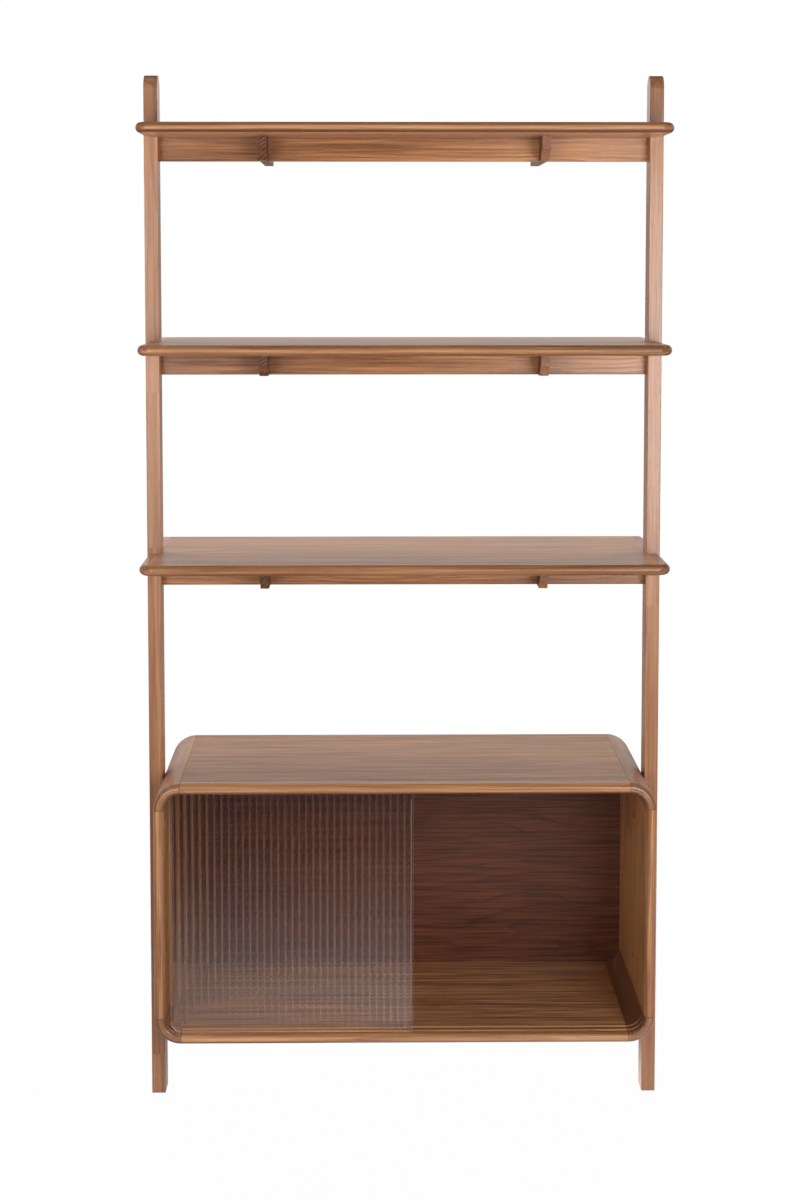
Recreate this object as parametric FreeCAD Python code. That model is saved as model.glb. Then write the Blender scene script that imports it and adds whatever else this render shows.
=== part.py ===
import os
import FreeCAD, Part
from FreeCAD import Vector

os.makedirs("parts", exist_ok=True)

# A tall open shelving unit with a sliding-door cabinet, in millimetres.
# +Z is up, the front faces -Y, and the origin is on the floor in the middle.

# Whole unit
shelf_width = 900.0
shelf_depth = 380.0

# Posts: two uprights let into the shelf ends, each with a half-round top
post_height = 1800.0
post_width = 24.0
post_depth = 46.0
post_setback = 143.0            # shelf front to post front
post_inset = 1.0                # post face inside the shelf's rounded tip
post_arris = 1.5

# Shelves: veneered boards with a round-nosed edging on three sides
top_shelf_drop = 89.0           # post's top down to the top shelf's top face
shelf_pitch = 371.5
shelf_names = ["lower", "middle", "top"]
shelf_thickness = 18.0
shelf_corner_radius = 25.0
edging_width = 20.0
notch_clearance = 0.2

# Rails and bearers under each shelf
rail_height = 40.0
rail_thickness = 18.0
rail_arris = 1.5
bearer_width = 15.0
bearer_spacing = 486.0
bearer_front_setback = 97.0     # shelf front to the bearer's end grain
bearer_back_setback = 10.0
bearer_nose_height = 22.0
bearer_cove_length = 29.0
lap_clearance = 0.1

# Cabinet between the posts
cabinet_top_height = 593.5
leg_clearance = 141.0
housing_depth = 4.0             # how far the posts are let into the sides
panel_thickness = 18.0
corner_radius = 45.0
edging_depth = 24.0             # front edging, deep enough to hold one groove
back_thickness = 6.0
back_ledge = 9.0                # width of the rebate that takes the back
back_clearance = 0.3

# Sliding doors of fluted glass
door_overlap = 7.0              # when closed, the front door goes this far past the middle
glass_thickness = 5.2
flute_depth = 0.8
flute_pitch = 12.0
door_outer_radius = 24.0        # corners next to a side
door_inner_radius = 10.0        # corners where the doors meet
door_edge_gap = 2.0             # left between a door and the side it meets
door_meeting_inset = 13.0       # a less rounded edge stops this much sooner
door_running_gap = 0.3          # under the glass, in the lower groove
front_door_shift = 7.0          # the front door stands this far off its stop
groove_width = 8.0
groove_setback = 15.5           # cabinet front to the middle of the front groove
groove_pitch = 18.0
lower_groove_depth = 4.0
upper_groove_depth = 9.0
door_upper_bite = 5.0
groove_end_clearance = 1.0

# Fasteners
bolt_radius = 3.0
bolt_hole_radius = 3.2
frame_bolt_length = 61.0
frame_head_radius = 7.5
frame_head_height = 2.5
frame_head_recess = 3.0
socket_radius = 2.0
socket_depth = 1.8
barrel_radius = 5.0
barrel_length = 14.0
barrel_recess = 1.0
barrel_end_distance = 32.0
fit_clearance = 0.1
cabinet_bolt_length = 25.0
cabinet_head_radius = 6.0
cabinet_head_height = 2.5
cabinet_head_recess = 3.0
cabinet_bolt_spacing = 257.0
insert_radius = 5.0
insert_length = 12.0
dowel_radius = 4.0
dowel_length = 30.0
rail_dowel_reach = 12.0         # part of a rail dowel inside the shelf
rail_dowel_end_distance = 85.0
corner_dowel_end_distance = 40.0
corner_dowel_front_distance = 80.0
corner_dowel_rows = 2
screw_radius = 2.0
screw_head_radius = 4.0
bearer_screw_length = 50.0
bearer_screw_front_distance = 22.0   # behind the cove
bearer_screw_back_distance = 60.0
back_screw_radius = 1.6
back_screw_head_radius = 3.2
back_screw_length = 20.0
back_screw_rows = 2
back_screw_columns = 4

# Wall brackets under the top shelf
bracket_spacing = 600.0
bracket_width = 20.0
bracket_sheet = 2.0
bracket_leg = 42.0
bracket_drop = 28.0
bracket_bend_radius = 3.0
bracket_hole_radius = 2.75
bracket_hole_drop = 17.0
bracket_screw_length = 14.0
bracket_screw_pitch = 18.0
bracket_screw_end_distance = 8.0

# Places worked out from the sizes above
half_width = shelf_width / 2
front = -shelf_depth / 2
back = shelf_depth / 2
post_outer = half_width - post_inset
post_inner = post_outer - post_width
post_front = front + post_setback
post_back = post_front + post_depth
post_middle = (post_front + post_back) / 2
rail_front = post_back - rail_thickness
rail_middle = post_back - rail_thickness / 2
bearer_front = front + bearer_front_setback
bearer_back = back - bearer_back_setback
cove_end = bearer_front + bearer_cove_length
cabinet_half = post_inner + housing_depth
cabinet_floor = leg_clearance + panel_thickness
cabinet_ceiling = cabinet_top_height - panel_thickness
cabinet_inner = cabinet_half - panel_thickness
cabinet_middle = (cabinet_top_height + leg_clearance) / 2
seam_x = cabinet_half - corner_radius
seam_low = leg_clearance + corner_radius
seam_high = cabinet_top_height - corner_radius
door_stop = cabinet_inner - door_edge_gap
x_axis = Vector(1, 0, 0)
y_axis = Vector(0, 1, 0)
z_axis = Vector(0, 0, 1)


def box(x0, x1, y0, y1, z0, z1):
    return Part.makeBox(x1 - x0, y1 - y0, z1 - z0, Vector(x0, y0, z0))


def rod(radius, length, base, direction):
    return Part.makeCylinder(radius, length, base, direction)


def mirrored(shape):
    """The same shape on the other side of the unit's middle plane."""
    return shape.mirror(Vector(0, 0, 0), x_axis)


def polygon_face(points):
    return Part.Face(Part.makePolygon(points + points[:1]))


def joined(shapes):
    return shapes[0].multiFuse(shapes[1:]).removeSplitter()


def group(shapes):
    return Part.makeCompound(shapes)


def nosed_face(tail, out, up, length, thickness):
    """A strip's section: square at its tail and half round at its far end."""
    half = up * (thickness / 2)
    straight = out * (length - thickness / 2)
    top_edge = Part.makeLine(tail + half, tail + half + straight)
    nose = Part.Arc(tail + half + straight, tail + out * length, tail - half + straight).toShape()
    bottom_edge = Part.makeLine(tail - half + straight, tail - half)
    tail_edge = Part.makeLine(tail - half, tail + half)
    return Part.Face(Part.Wire([top_edge, nose, bottom_edge, tail_edge]))


def rounded_plate(x0, x1, z0, z1, left_radius, right_radius, y0, y1):
    """An upright plate whose left and right corners have their own radii."""
    plate = box(x0, x1, y0, y1, z0, z1)
    for x, radius in ((x0, left_radius), (x1, right_radius)):
        corners = [edge for edge in plate.Edges if is_corner_edge(edge, x, y1 - y0)]
        plate = plate.makeFillet(radius, corners)
    return plate


def is_corner_edge(edge, x, length):
    """True for a plate's corner edges, which run through it at the given x."""
    bounds = edge.BoundBox
    at_x = bounds.XLength < 1e-6 and abs(bounds.XMax - x) < 1e-6
    return at_x and bounds.ZLength < 1e-6 and abs(bounds.YLength - length) < 1e-6


def countersunk_screw(head, direction, length, radius, head_radius):
    """A screw whose flat head is flush with the face at the point head."""
    cone_height = head_radius - radius
    cone = Part.makeCone(head_radius, radius, cone_height, head, direction)
    shank = rod(radius, length - cone_height, head + direction * cone_height, direction)
    return joined([cone, shank])


def screw_hole(head, direction, length, radius, head_radius):
    wide = head_radius + fit_clearance
    narrow = radius + fit_clearance
    cone = Part.makeCone(wide, narrow, wide - narrow, head, direction)
    shank = rod(narrow, length + fit_clearance, head, direction)
    return cone.fuse(shank)


def flat_bolt(head, direction, length, head_radius, head_height):
    """A furniture bolt: the flat head stands on the point, the shank follows."""
    disc = rod(head_radius, head_height, head, direction)
    shank = rod(bolt_radius, length, head + direction * head_height, direction)
    socket = rod(socket_radius, socket_depth, head, direction)
    return joined([disc, shank]).cut(socket)


# Shelves

def shelf_top(index):
    shelves_above = len(shelf_names) - 1 - index
    return post_height - top_shelf_drop - shelves_above * shelf_pitch


def shelf_under(index):
    return shelf_top(index) - shelf_thickness


def shelf_edging(index):
    """The round-nosed edging: its front piece, then the two short ones behind the posts."""
    middle = shelf_top(index) - shelf_thickness / 2
    centre_x = half_width - shelf_corner_radius
    centre_y = front + shelf_corner_radius
    tail = Vector(-centre_x, front + edging_width, middle)
    section = nosed_face(tail, -y_axis, z_axis, edging_width, shelf_thickness)
    bar = section.extrude(x_axis * (2 * centre_x))
    corner = section.revolve(Vector(-centre_x, centre_y, middle), z_axis, -90)
    side_tail = Vector(-half_width + edging_width, centre_y, middle)
    side_section = nosed_face(side_tail, -x_axis, z_axis, edging_width, shelf_thickness)
    side = side_section.extrude(y_axis * (back - centre_y))
    ring = joined([bar, corner, side, mirrored(corner), mirrored(side)])
    pieces = ring.cut(post_notches(index)).Solids
    return sorted(pieces, key=lambda piece: (round(piece.CenterOfMass.y), piece.CenterOfMass.x))


def shelf_board(index):
    half = half_width - edging_width
    board = box(-half, half, front + edging_width, back, shelf_under(index), shelf_top(index))
    corners = [edge for edge in board.Edges if is_front_upright(edge, half)]
    board = board.makeFillet(shelf_corner_radius - edging_width, corners)
    return board.cut(post_notches(index)).cut(rail_dowel_holes(index)).cut(bearer_screw_holes(index))


def is_front_upright(edge, half):
    middle = edge.CenterOfMass
    return abs(abs(middle.x) - half) < 1e-6 and abs(middle.y - front - edging_width) < 1e-6


def post_notches(index):
    notch = box(
        post_inner - notch_clearance,
        half_width + shelf_thickness,
        post_front - notch_clearance,
        post_back + notch_clearance,
        shelf_under(index) - 1,
        shelf_top(index) + 1,
    )
    return group([notch, mirrored(notch)])


# Posts

def post():
    """The right-hand post, bored for the rail bolts and the cabinet's inserts."""
    shoulder = post_height - post_depth / 2
    front_line = Part.makeLine(Vector(post_inner, post_front, 0), Vector(post_inner, post_front, shoulder))
    head = Part.Arc(
        Vector(post_inner, post_front, shoulder),
        Vector(post_inner, post_middle, post_height),
        Vector(post_inner, post_back, shoulder),
    ).toShape()
    back_line = Part.makeLine(Vector(post_inner, post_back, shoulder), Vector(post_inner, post_back, 0))
    foot = Part.makeLine(Vector(post_inner, post_back, 0), Vector(post_inner, post_front, 0))
    outline = Part.Face(Part.Wire([front_line, head, back_line, foot]))
    solid = outline.extrude(x_axis * post_width)
    long_edges = [edge for edge in solid.Edges if is_post_arris(edge)]
    solid = solid.makeFillet(post_arris, long_edges)
    for index in range(len(shelf_names)):
        solid = solid.cut(frame_bolt_hole(index))
    for height in cabinet_bolt_heights():
        mouth = Vector(post_inner, post_middle, height)
        solid = solid.cut(rod(insert_radius + fit_clearance, insert_length, mouth, x_axis))
        solid = solid.cut(rod(bolt_hole_radius, cabinet_bolt_end() - post_inner + fit_clearance, mouth, x_axis))
    return solid


def is_post_arris(edge):
    """True for the edges that run up a post and over its head."""
    box_of_edge = edge.BoundBox
    return box_of_edge.XLength < 1e-6 and box_of_edge.ZLength > 1


# Rails and bearers

def rail(index):
    under = shelf_under(index)
    solid = box(-post_inner, post_inner, rail_front, post_back, under - rail_height, under)
    low_edges = [edge for edge in solid.Edges if is_low_rail_edge(edge, under)]
    solid = solid.makeFillet(rail_arris, low_edges)
    for x in bearer_places():
        lap = box(
            x - bearer_width / 2 - lap_clearance,
            x + bearer_width / 2 + lap_clearance,
            rail_front - 1,
            post_back + 1,
            under - rail_height - 1,
            under - rail_height / 2 + lap_clearance,
        )
        solid = solid.cut(lap)
    solid = solid.cut(rail_dowel_holes(index))
    bolt_hole = frame_bolt_hole(index)
    nut_hole = barrel_nut_hole(index)
    return solid.cut(group([bolt_hole, mirrored(bolt_hole), nut_hole, mirrored(nut_hole)]))


def is_low_rail_edge(edge, under):
    bounds = edge.BoundBox
    return bounds.XLength > 1 and bounds.ZMax < under - rail_height + 1e-6


def bearer_places():
    return [-bearer_spacing / 2, bearer_spacing / 2]


def bearer(index, x):
    """A corbelled bearer, halved over the rail and reaching to the shelf's back."""
    under = shelf_under(index)
    left = x - bearer_width / 2
    nose_low = under - bearer_nose_height
    low = under - rail_height
    cove_middle = Vector(
        left,
        bearer_front + bearer_cove_length * 0.7071,
        low + (nose_low - low) * 0.7071,
    )
    points = [
        Vector(left, cove_end, low),
        Vector(left, bearer_back, low),
        Vector(left, bearer_back, under),
        Vector(left, bearer_front, under),
        Vector(left, bearer_front, nose_low),
    ]
    edges = [Part.makeLine(a, b) for a, b in zip(points, points[1:])]
    cove = Part.Arc(points[-1], cove_middle, points[0]).toShape()
    solid = Part.Face(Part.Wire(edges + [cove])).extrude(x_axis * bearer_width)
    lap = box(
        left - 1,
        left + bearer_width + 1,
        rail_front - lap_clearance,
        post_back + lap_clearance,
        under - rail_height / 2,
        under + 1,
    )
    return solid.cut(lap).cut(bearer_screw_holes(index))


# Cabinet

def door_groove(row):
    """The space one door slides in, cut into the panels and corner blocks."""
    middle = front + groove_setback + row * groove_pitch
    reach = door_stop + groove_end_clearance
    radius = door_outer_radius + groove_end_clearance
    return rounded_plate(
        -reach,
        reach,
        cabinet_floor - lower_groove_depth,
        cabinet_ceiling + upper_groove_depth,
        radius,
        radius,
        middle - groove_width / 2,
        middle + groove_width / 2,
    )


def back_rebate():
    """The space of the back panel, open to the rear."""
    reach = cabinet_inner + back_ledge
    radius = corner_radius - panel_thickness + back_ledge
    return rounded_plate(
        -reach,
        reach,
        cabinet_floor - back_ledge,
        cabinet_ceiling + back_ledge,
        radius,
        radius,
        back - back_thickness,
        back + 1,
    )


def post_housings():
    housing = box(
        post_inner,
        cabinet_half + 1,
        post_front - notch_clearance,
        post_back + notch_clearance,
        leg_clearance - 1,
        cabinet_top_height + 1,
    )
    return group([housing, mirrored(housing)])


def finish_cabinet_piece(solid):
    """Takes the grooves, the rebate, the housings and every bore out of a piece."""
    for cutter in cabinet_cutters:
        solid = solid.cut(cutter)
    return solid


def cabinet_level_panel(low):
    """The core of the top or the bottom, between two corner blocks."""
    core = box(-seam_x, seam_x, front + edging_depth, back, low, low + panel_thickness)
    return finish_cabinet_piece(core)


def cabinet_side_panel():
    core = box(cabinet_inner, cabinet_half, front + edging_depth, back, seam_low, seam_high)
    return finish_cabinet_piece(core)


def cabinet_level_edging(low):
    tail = Vector(-seam_x, front + edging_depth, low + panel_thickness / 2)
    section = nosed_face(tail, -y_axis, z_axis, edging_depth, panel_thickness)
    return finish_cabinet_piece(section.extrude(x_axis * (2 * seam_x)))


def cabinet_side_edging():
    tail = Vector(cabinet_half - panel_thickness / 2, front + edging_depth, seam_low)
    section = nosed_face(tail, -y_axis, x_axis, edging_depth, panel_thickness)
    return section.extrude(z_axis * (seam_high - seam_low))


def corner_block(centre_z, out, turn):
    """A solid curved corner on the right side, round-nosed at its front."""
    tail = Vector(seam_x, back, centre_z) + out * (corner_radius - panel_thickness / 2)
    section = nosed_face(tail, -y_axis, out, shelf_depth, panel_thickness)
    solid = section.revolve(Vector(seam_x, back, centre_z), y_axis, turn)
    return solid


def cabinet_back():
    reach = cabinet_inner + back_ledge - back_clearance
    radius = corner_radius - panel_thickness + back_ledge - back_clearance
    solid = rounded_plate(
        -reach,
        reach,
        cabinet_floor - back_ledge + back_clearance,
        cabinet_ceiling + back_ledge - back_clearance,
        radius,
        radius,
        back - back_thickness,
        back,
    )
    return solid.cut(group(back_screw_holes()))


# Doors

def door_outline(row):
    """Left and right edges and corner radii: rounder where a door meets its side."""
    if row == 0:
        left = front_door_shift - door_stop
        return left, left + door_stop + door_overlap, door_outer_radius, door_inner_radius
    left = door_meeting_inset - door_stop
    return left, left + door_stop, door_inner_radius, door_outer_radius


def door(row):
    """A pane, smooth in front and fluted behind, with polished round corners."""
    left, right, left_radius, right_radius = door_outline(row)
    thickness = glass_thickness + flute_depth
    face_y = front + groove_setback + row * groove_pitch - thickness / 2
    low = cabinet_floor - lower_groove_depth + door_running_gap
    high = cabinet_ceiling + door_upper_bite
    outline = rounded_plate(left, right, low, high, left_radius, right_radius, face_y, face_y + thickness)
    count = int((right - left - flute_depth) // flute_pitch)
    margin = (right - left - count * flute_pitch) / 2
    valley = face_y + glass_thickness
    crest = face_y + thickness
    edges = []
    for number in range(count):
        start = left + margin + number * flute_pitch
        first = Vector(start, valley, low)
        last = Vector(start + flute_pitch, valley, low)
        top = Vector(start + flute_pitch / 2, crest, low)
        edges.append(Part.Arc(first, top, last).toShape())
    rim = [
        Vector(right - margin, valley, low),
        Vector(right, valley, low),
        Vector(right, face_y, low),
        Vector(left, face_y, low),
        Vector(left, valley, low),
        Vector(left + margin, valley, low),
    ]
    edges.extend(Part.makeLine(a, b) for a, b in zip(rim, rim[1:]))
    section = Part.Face(Part.Wire(edges))
    return section.extrude(z_axis * (high - low)).common(outline)


# Fasteners

def frame_bolt_height(index):
    return shelf_under(index) - rail_height / 2


def frame_bolt(index):
    """The right-hand bolt through a post into a rail's end."""
    start = post_outer - frame_head_recess + frame_head_height
    head = Vector(start, rail_middle, frame_bolt_height(index))
    return flat_bolt(head, -x_axis, frame_bolt_length, frame_head_radius, frame_head_height)


def frame_bolt_hole(index):
    mouth = Vector(post_outer, rail_middle, frame_bolt_height(index))
    recess = rod(frame_head_radius + fit_clearance, frame_head_recess, mouth, -x_axis)
    bore = rod(bolt_hole_radius, frame_head_recess + frame_bolt_length + 1, mouth, -x_axis)
    return recess.fuse(bore)


def barrel_nut(index):
    """The right-hand cross nut, pushed into the rail from behind."""
    mouth = Vector(post_inner - barrel_end_distance, post_back - barrel_recess, frame_bolt_height(index))
    nut = rod(barrel_radius, barrel_length, mouth, -y_axis)
    thread = rod(
        bolt_radius + fit_clearance,
        4 * barrel_radius,
        Vector(mouth.x - 2 * barrel_radius, rail_middle, mouth.z),
        x_axis,
    )
    return nut.cut(thread)


def barrel_nut_hole(index):
    mouth = Vector(post_inner - barrel_end_distance, post_back, frame_bolt_height(index))
    return rod(barrel_radius + fit_clearance, barrel_recess + barrel_length + fit_clearance, mouth, -y_axis)


def cabinet_bolt_heights():
    return [cabinet_middle - cabinet_bolt_spacing / 2, cabinet_middle + cabinet_bolt_spacing / 2]


def cabinet_bolt_start():
    return cabinet_inner + cabinet_head_recess - cabinet_head_height


def cabinet_bolt_end():
    return cabinet_bolt_start() + cabinet_head_height + cabinet_bolt_length


def cabinet_bolt(height):
    """A bolt from inside the cabinet's right side into the post."""
    head = Vector(cabinet_bolt_start(), post_middle, height)
    return flat_bolt(head, x_axis, cabinet_bolt_length, cabinet_head_radius, cabinet_head_height)


def cabinet_bolt_hole(height):
    mouth = Vector(cabinet_inner, post_middle, height)
    recess = rod(cabinet_head_radius + fit_clearance, cabinet_head_recess, mouth, x_axis)
    bore = rod(bolt_hole_radius, panel_thickness, mouth, x_axis)
    return recess.fuse(bore)


def threaded_insert(height):
    mouth = Vector(post_inner, post_middle, height)
    sleeve = rod(insert_radius, insert_length, mouth, x_axis)
    return sleeve.cut(rod(bolt_radius + fit_clearance, insert_length, mouth, x_axis))


def rail_dowel_places():
    end = post_inner - rail_dowel_end_distance
    return [-end, 0, end]


def rail_dowels(index, radius, extra):
    """Dowels between a rail and its shelf; extra lengthens them for the holes."""
    low = shelf_under(index) + rail_dowel_reach - dowel_length - extra
    length = dowel_length + 2 * extra
    return [rod(radius, length, Vector(x, rail_middle, low), z_axis) for x in rail_dowel_places()]


def rail_dowel_holes(index):
    return group(rail_dowels(index, dowel_radius + fit_clearance, fit_clearance))


def corner_dowels(radius, extra):
    """Dowels across the eight seams between the panels and the corner blocks."""
    first = front + corner_dowel_front_distance
    last = back - corner_dowel_end_distance
    step = (last - first) / (corner_dowel_rows - 1)
    length = dowel_length + 2 * extra
    level_z = [leg_clearance + panel_thickness / 2, cabinet_top_height - panel_thickness / 2]
    side_x = cabinet_half - panel_thickness / 2
    dowels = []
    for row in range(corner_dowel_rows):
        y = first + row * step
        for z in level_z:
            dowels.append(rod(radius, length, Vector(seam_x - length / 2, y, z), x_axis))
        for z in (seam_low, seam_high):
            dowels.append(rod(radius, length, Vector(side_x, y, z - length / 2), z_axis))
    return dowels + [mirrored(dowel) for dowel in dowels]


def bearer_screw_heads(index):
    low = shelf_under(index) - rail_height
    rows = [cove_end + bearer_screw_front_distance, bearer_back - bearer_screw_back_distance]
    return [Vector(x, y, low) for x in bearer_places() for y in rows]


def bearer_screws(index):
    heads = bearer_screw_heads(index)
    return [
        countersunk_screw(head, z_axis, bearer_screw_length, screw_radius, screw_head_radius)
        for head in heads
    ]


def bearer_screw_holes(index):
    heads = bearer_screw_heads(index)
    return group([screw_hole(head, z_axis, bearer_screw_length, screw_radius, screw_head_radius) for head in heads])


def back_screw_heads():
    """Evenly spaced round the back, in the middle of the ledge that it sits on."""
    x_reach = cabinet_inner + back_ledge / 2
    z_low = cabinet_floor - back_ledge / 2
    z_high = cabinet_ceiling + back_ledge / 2
    heads = []
    for number in range(back_screw_columns):
        x = seam_x * (2 * number / (back_screw_columns - 1) - 1) * 0.92
        heads.extend([Vector(x, back, z_low), Vector(x, back, z_high)])
    for number in range(back_screw_rows):
        z = cabinet_middle + (seam_high - seam_low) * 0.4 * (2 * number / (back_screw_rows - 1) - 1)
        heads.extend([Vector(-x_reach, back, z), Vector(x_reach, back, z)])
    return heads


def back_screws():
    return [
        countersunk_screw(head, -y_axis, back_screw_length, back_screw_radius, back_screw_head_radius)
        for head in back_screw_heads()
    ]


def back_screw_holes():
    return [
        screw_hole(head, -y_axis, back_screw_length, back_screw_radius, back_screw_head_radius)
        for head in back_screw_heads()
    ]


# Wall brackets

def top_under():
    return shelf_under(len(shelf_names) - 1)


def bracket(x):
    """A bent steel angle: one leg under the top shelf, one leg against the wall."""
    left = x - bracket_width / 2
    under = top_under()
    outline = [
        Vector(left, back - bracket_leg, under),
        Vector(left, back, under),
        Vector(left, back, under - bracket_drop),
        Vector(left, back - bracket_sheet, under - bracket_drop),
        Vector(left, back - bracket_sheet, under - bracket_sheet),
        Vector(left, back - bracket_leg, under - bracket_sheet),
    ]
    solid = polygon_face(outline).extrude(x_axis * bracket_width)
    outer = [edge for edge in solid.Edges if is_bend_edge(edge, back, under)]
    inner = [edge for edge in solid.Edges if is_bend_edge(edge, back - bracket_sheet, under - bracket_sheet)]
    solid = solid.makeFillet(bracket_bend_radius - bracket_sheet, inner)
    outer = [edge for edge in solid.Edges if is_bend_edge(edge, back, under)]
    solid = solid.makeFillet(bracket_bend_radius, outer)
    hole = Vector(x, back - bracket_sheet, under - bracket_hole_drop)
    solid = solid.cut(rod(bracket_hole_radius, bracket_sheet, hole, y_axis))
    return solid.cut(group(bracket_screw_holes(x)))


def is_bend_edge(edge, y, z):
    middle = edge.CenterOfMass
    return edge.BoundBox.XLength > 1 and abs(middle.y - y) < 1e-6 and abs(middle.z - z) < 1e-6


def bracket_screw_heads(x):
    first = back - bracket_leg + bracket_screw_end_distance
    low = top_under() - bracket_sheet
    return [Vector(x, first, low), Vector(x, first + bracket_screw_pitch, low)]


def bracket_screws(x):
    heads = bracket_screw_heads(x)
    return [
        countersunk_screw(head, z_axis, bracket_screw_length, back_screw_radius, back_screw_head_radius)
        for head in heads
    ]


def bracket_screw_holes(x):
    heads = bracket_screw_heads(x)
    return [screw_hole(head, z_axis, bracket_screw_length, back_screw_radius, back_screw_head_radius) for head in heads]


# Build every piece
parts = {}

right_post = post()
parts["post_right"] = right_post
parts["post_left"] = mirrored(right_post)

bracket_places = [-bracket_spacing / 2, bracket_spacing / 2]
for index, name in enumerate(shelf_names):
    board = shelf_board(index)
    if name == "top":
        for x in bracket_places:
            board = board.cut(group(bracket_screw_holes(x)))
    parts["shelf_" + name] = board
    front_piece, left_piece, right_piece = shelf_edging(index)
    parts["edging_" + name] = front_piece
    parts["edging_" + name + "_rear_left"] = left_piece
    parts["edging_" + name + "_rear_right"] = right_piece
    parts["rail_" + name] = rail(index)
    for side, x in zip(("left", "right"), bearer_places()):
        parts["bearer_" + name + "_" + side] = bearer(index, x)

corner_dowel_holes = group(corner_dowels(dowel_radius + fit_clearance, fit_clearance))
side_bolt_holes = [cabinet_bolt_hole(height) for height in cabinet_bolt_heights()]
cabinet_cutters = [
    door_groove(0),
    door_groove(1),
    back_rebate(),
    post_housings(),
    corner_dowel_holes,
    group(side_bolt_holes + [mirrored(hole) for hole in side_bolt_holes]),
    group(back_screw_holes()),
]
parts["cabinet_top"] = cabinet_level_panel(cabinet_ceiling)
parts["cabinet_bottom"] = cabinet_level_panel(leg_clearance)
side = cabinet_side_panel()
parts["cabinet_side_right"] = side
parts["cabinet_side_left"] = mirrored(side)
parts["cabinet_edging_top"] = cabinet_level_edging(cabinet_ceiling)
parts["cabinet_edging_bottom"] = cabinet_level_edging(leg_clearance)
side_edging = cabinet_side_edging()
parts["cabinet_edging_right"] = side_edging
parts["cabinet_edging_left"] = mirrored(side_edging)
upper_corner = corner_block(seam_high, z_axis, 90)
lower_corner = corner_block(seam_low, -z_axis, -90)
parts["corner_top_right"] = finish_cabinet_piece(upper_corner)
parts["corner_bottom_right"] = finish_cabinet_piece(lower_corner)
parts["corner_top_left"] = finish_cabinet_piece(mirrored(upper_corner))
parts["corner_bottom_left"] = finish_cabinet_piece(mirrored(lower_corner))
parts["cabinet_back"] = cabinet_back()
parts["door_front"] = door(0)
parts["door_rear"] = door(1)

shelf_numbers = range(len(shelf_names))
right_bolts = [frame_bolt(index) for index in shelf_numbers]
parts["frame_bolts"] = group(right_bolts + [mirrored(bolt) for bolt in right_bolts])
right_nuts = [barrel_nut(index) for index in shelf_numbers]
parts["barrel_nuts"] = group(right_nuts + [mirrored(nut) for nut in right_nuts])
right_bolts = [cabinet_bolt(height) for height in cabinet_bolt_heights()]
parts["cabinet_bolts"] = group(right_bolts + [mirrored(bolt) for bolt in right_bolts])
right_inserts = [threaded_insert(height) for height in cabinet_bolt_heights()]
parts["threaded_inserts"] = group(right_inserts + [mirrored(insert) for insert in right_inserts])
parts["rail_dowels"] = group([dowel for index in shelf_numbers for dowel in rail_dowels(index, dowel_radius, 0)])
parts["corner_dowels"] = group(corner_dowels(dowel_radius, 0))
parts["bearer_screws"] = group([screw for index in shelf_numbers for screw in bearer_screws(index)])
parts["back_screws"] = group(back_screws())
parts["wall_brackets"] = group([bracket(x) for x in bracket_places])
parts["bracket_screws"] = group([screw for x in bracket_places for screw in bracket_screws(x)])

for name, shape in parts.items():
    shape.exportStep("parts/" + name + ".step")
    print(name, len(shape.Solids), round(shape.Volume), shape.isValid())
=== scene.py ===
import math
import bpy
import numpy as np
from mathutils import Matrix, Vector


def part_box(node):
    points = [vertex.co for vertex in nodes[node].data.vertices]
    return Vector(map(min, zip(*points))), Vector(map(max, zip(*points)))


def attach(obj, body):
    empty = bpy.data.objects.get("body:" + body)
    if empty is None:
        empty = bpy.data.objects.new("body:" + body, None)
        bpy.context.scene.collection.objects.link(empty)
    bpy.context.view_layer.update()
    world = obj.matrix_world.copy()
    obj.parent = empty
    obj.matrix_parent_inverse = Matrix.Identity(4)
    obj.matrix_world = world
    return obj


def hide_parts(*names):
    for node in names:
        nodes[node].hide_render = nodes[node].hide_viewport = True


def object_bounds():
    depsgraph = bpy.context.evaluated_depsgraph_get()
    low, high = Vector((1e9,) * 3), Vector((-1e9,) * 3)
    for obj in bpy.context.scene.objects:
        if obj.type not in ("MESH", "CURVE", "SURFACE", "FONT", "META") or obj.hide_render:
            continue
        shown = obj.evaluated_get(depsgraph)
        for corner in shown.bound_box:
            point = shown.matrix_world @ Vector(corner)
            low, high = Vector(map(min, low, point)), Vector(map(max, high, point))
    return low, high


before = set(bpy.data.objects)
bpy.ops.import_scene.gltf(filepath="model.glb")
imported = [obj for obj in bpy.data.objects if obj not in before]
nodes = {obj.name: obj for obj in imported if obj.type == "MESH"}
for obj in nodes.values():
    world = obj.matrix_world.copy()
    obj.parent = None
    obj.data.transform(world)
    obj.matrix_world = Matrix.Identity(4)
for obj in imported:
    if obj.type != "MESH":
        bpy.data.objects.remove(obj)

cadLow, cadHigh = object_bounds()
print("frame loaded,", len(nodes), "nodes")


# Shader sums written as Python sums

class Wire:  # one output socket of a node
    def __init__(self, tree, socket):
        self.tree = tree
        self.socket = socket

    def other(self, output):  # another output of the same node
        return Wire(self.tree, self.socket.node.outputs[output])

    def __add__(self, more):
        return self.tree.sum("ADD", self, more)

    def __radd__(self, more):
        return self.tree.sum("ADD", more, self)

    def __sub__(self, less):
        return self.tree.sum("SUBTRACT", self, less)

    def __rsub__(self, whole):
        return self.tree.sum("SUBTRACT", whole, self)

    def __mul__(self, times):
        return self.tree.sum("MULTIPLY", self, times)

    def __rmul__(self, times):
        return self.tree.sum("MULTIPLY", times, self)

    def __truediv__(self, share):
        return self.tree.sum("DIVIDE", self, share)

    def __pow__(self, power):
        return self.tree.sum("POWER", self, power)

    def __abs__(self):
        return self.tree.sum("ABSOLUTE", self)


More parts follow.
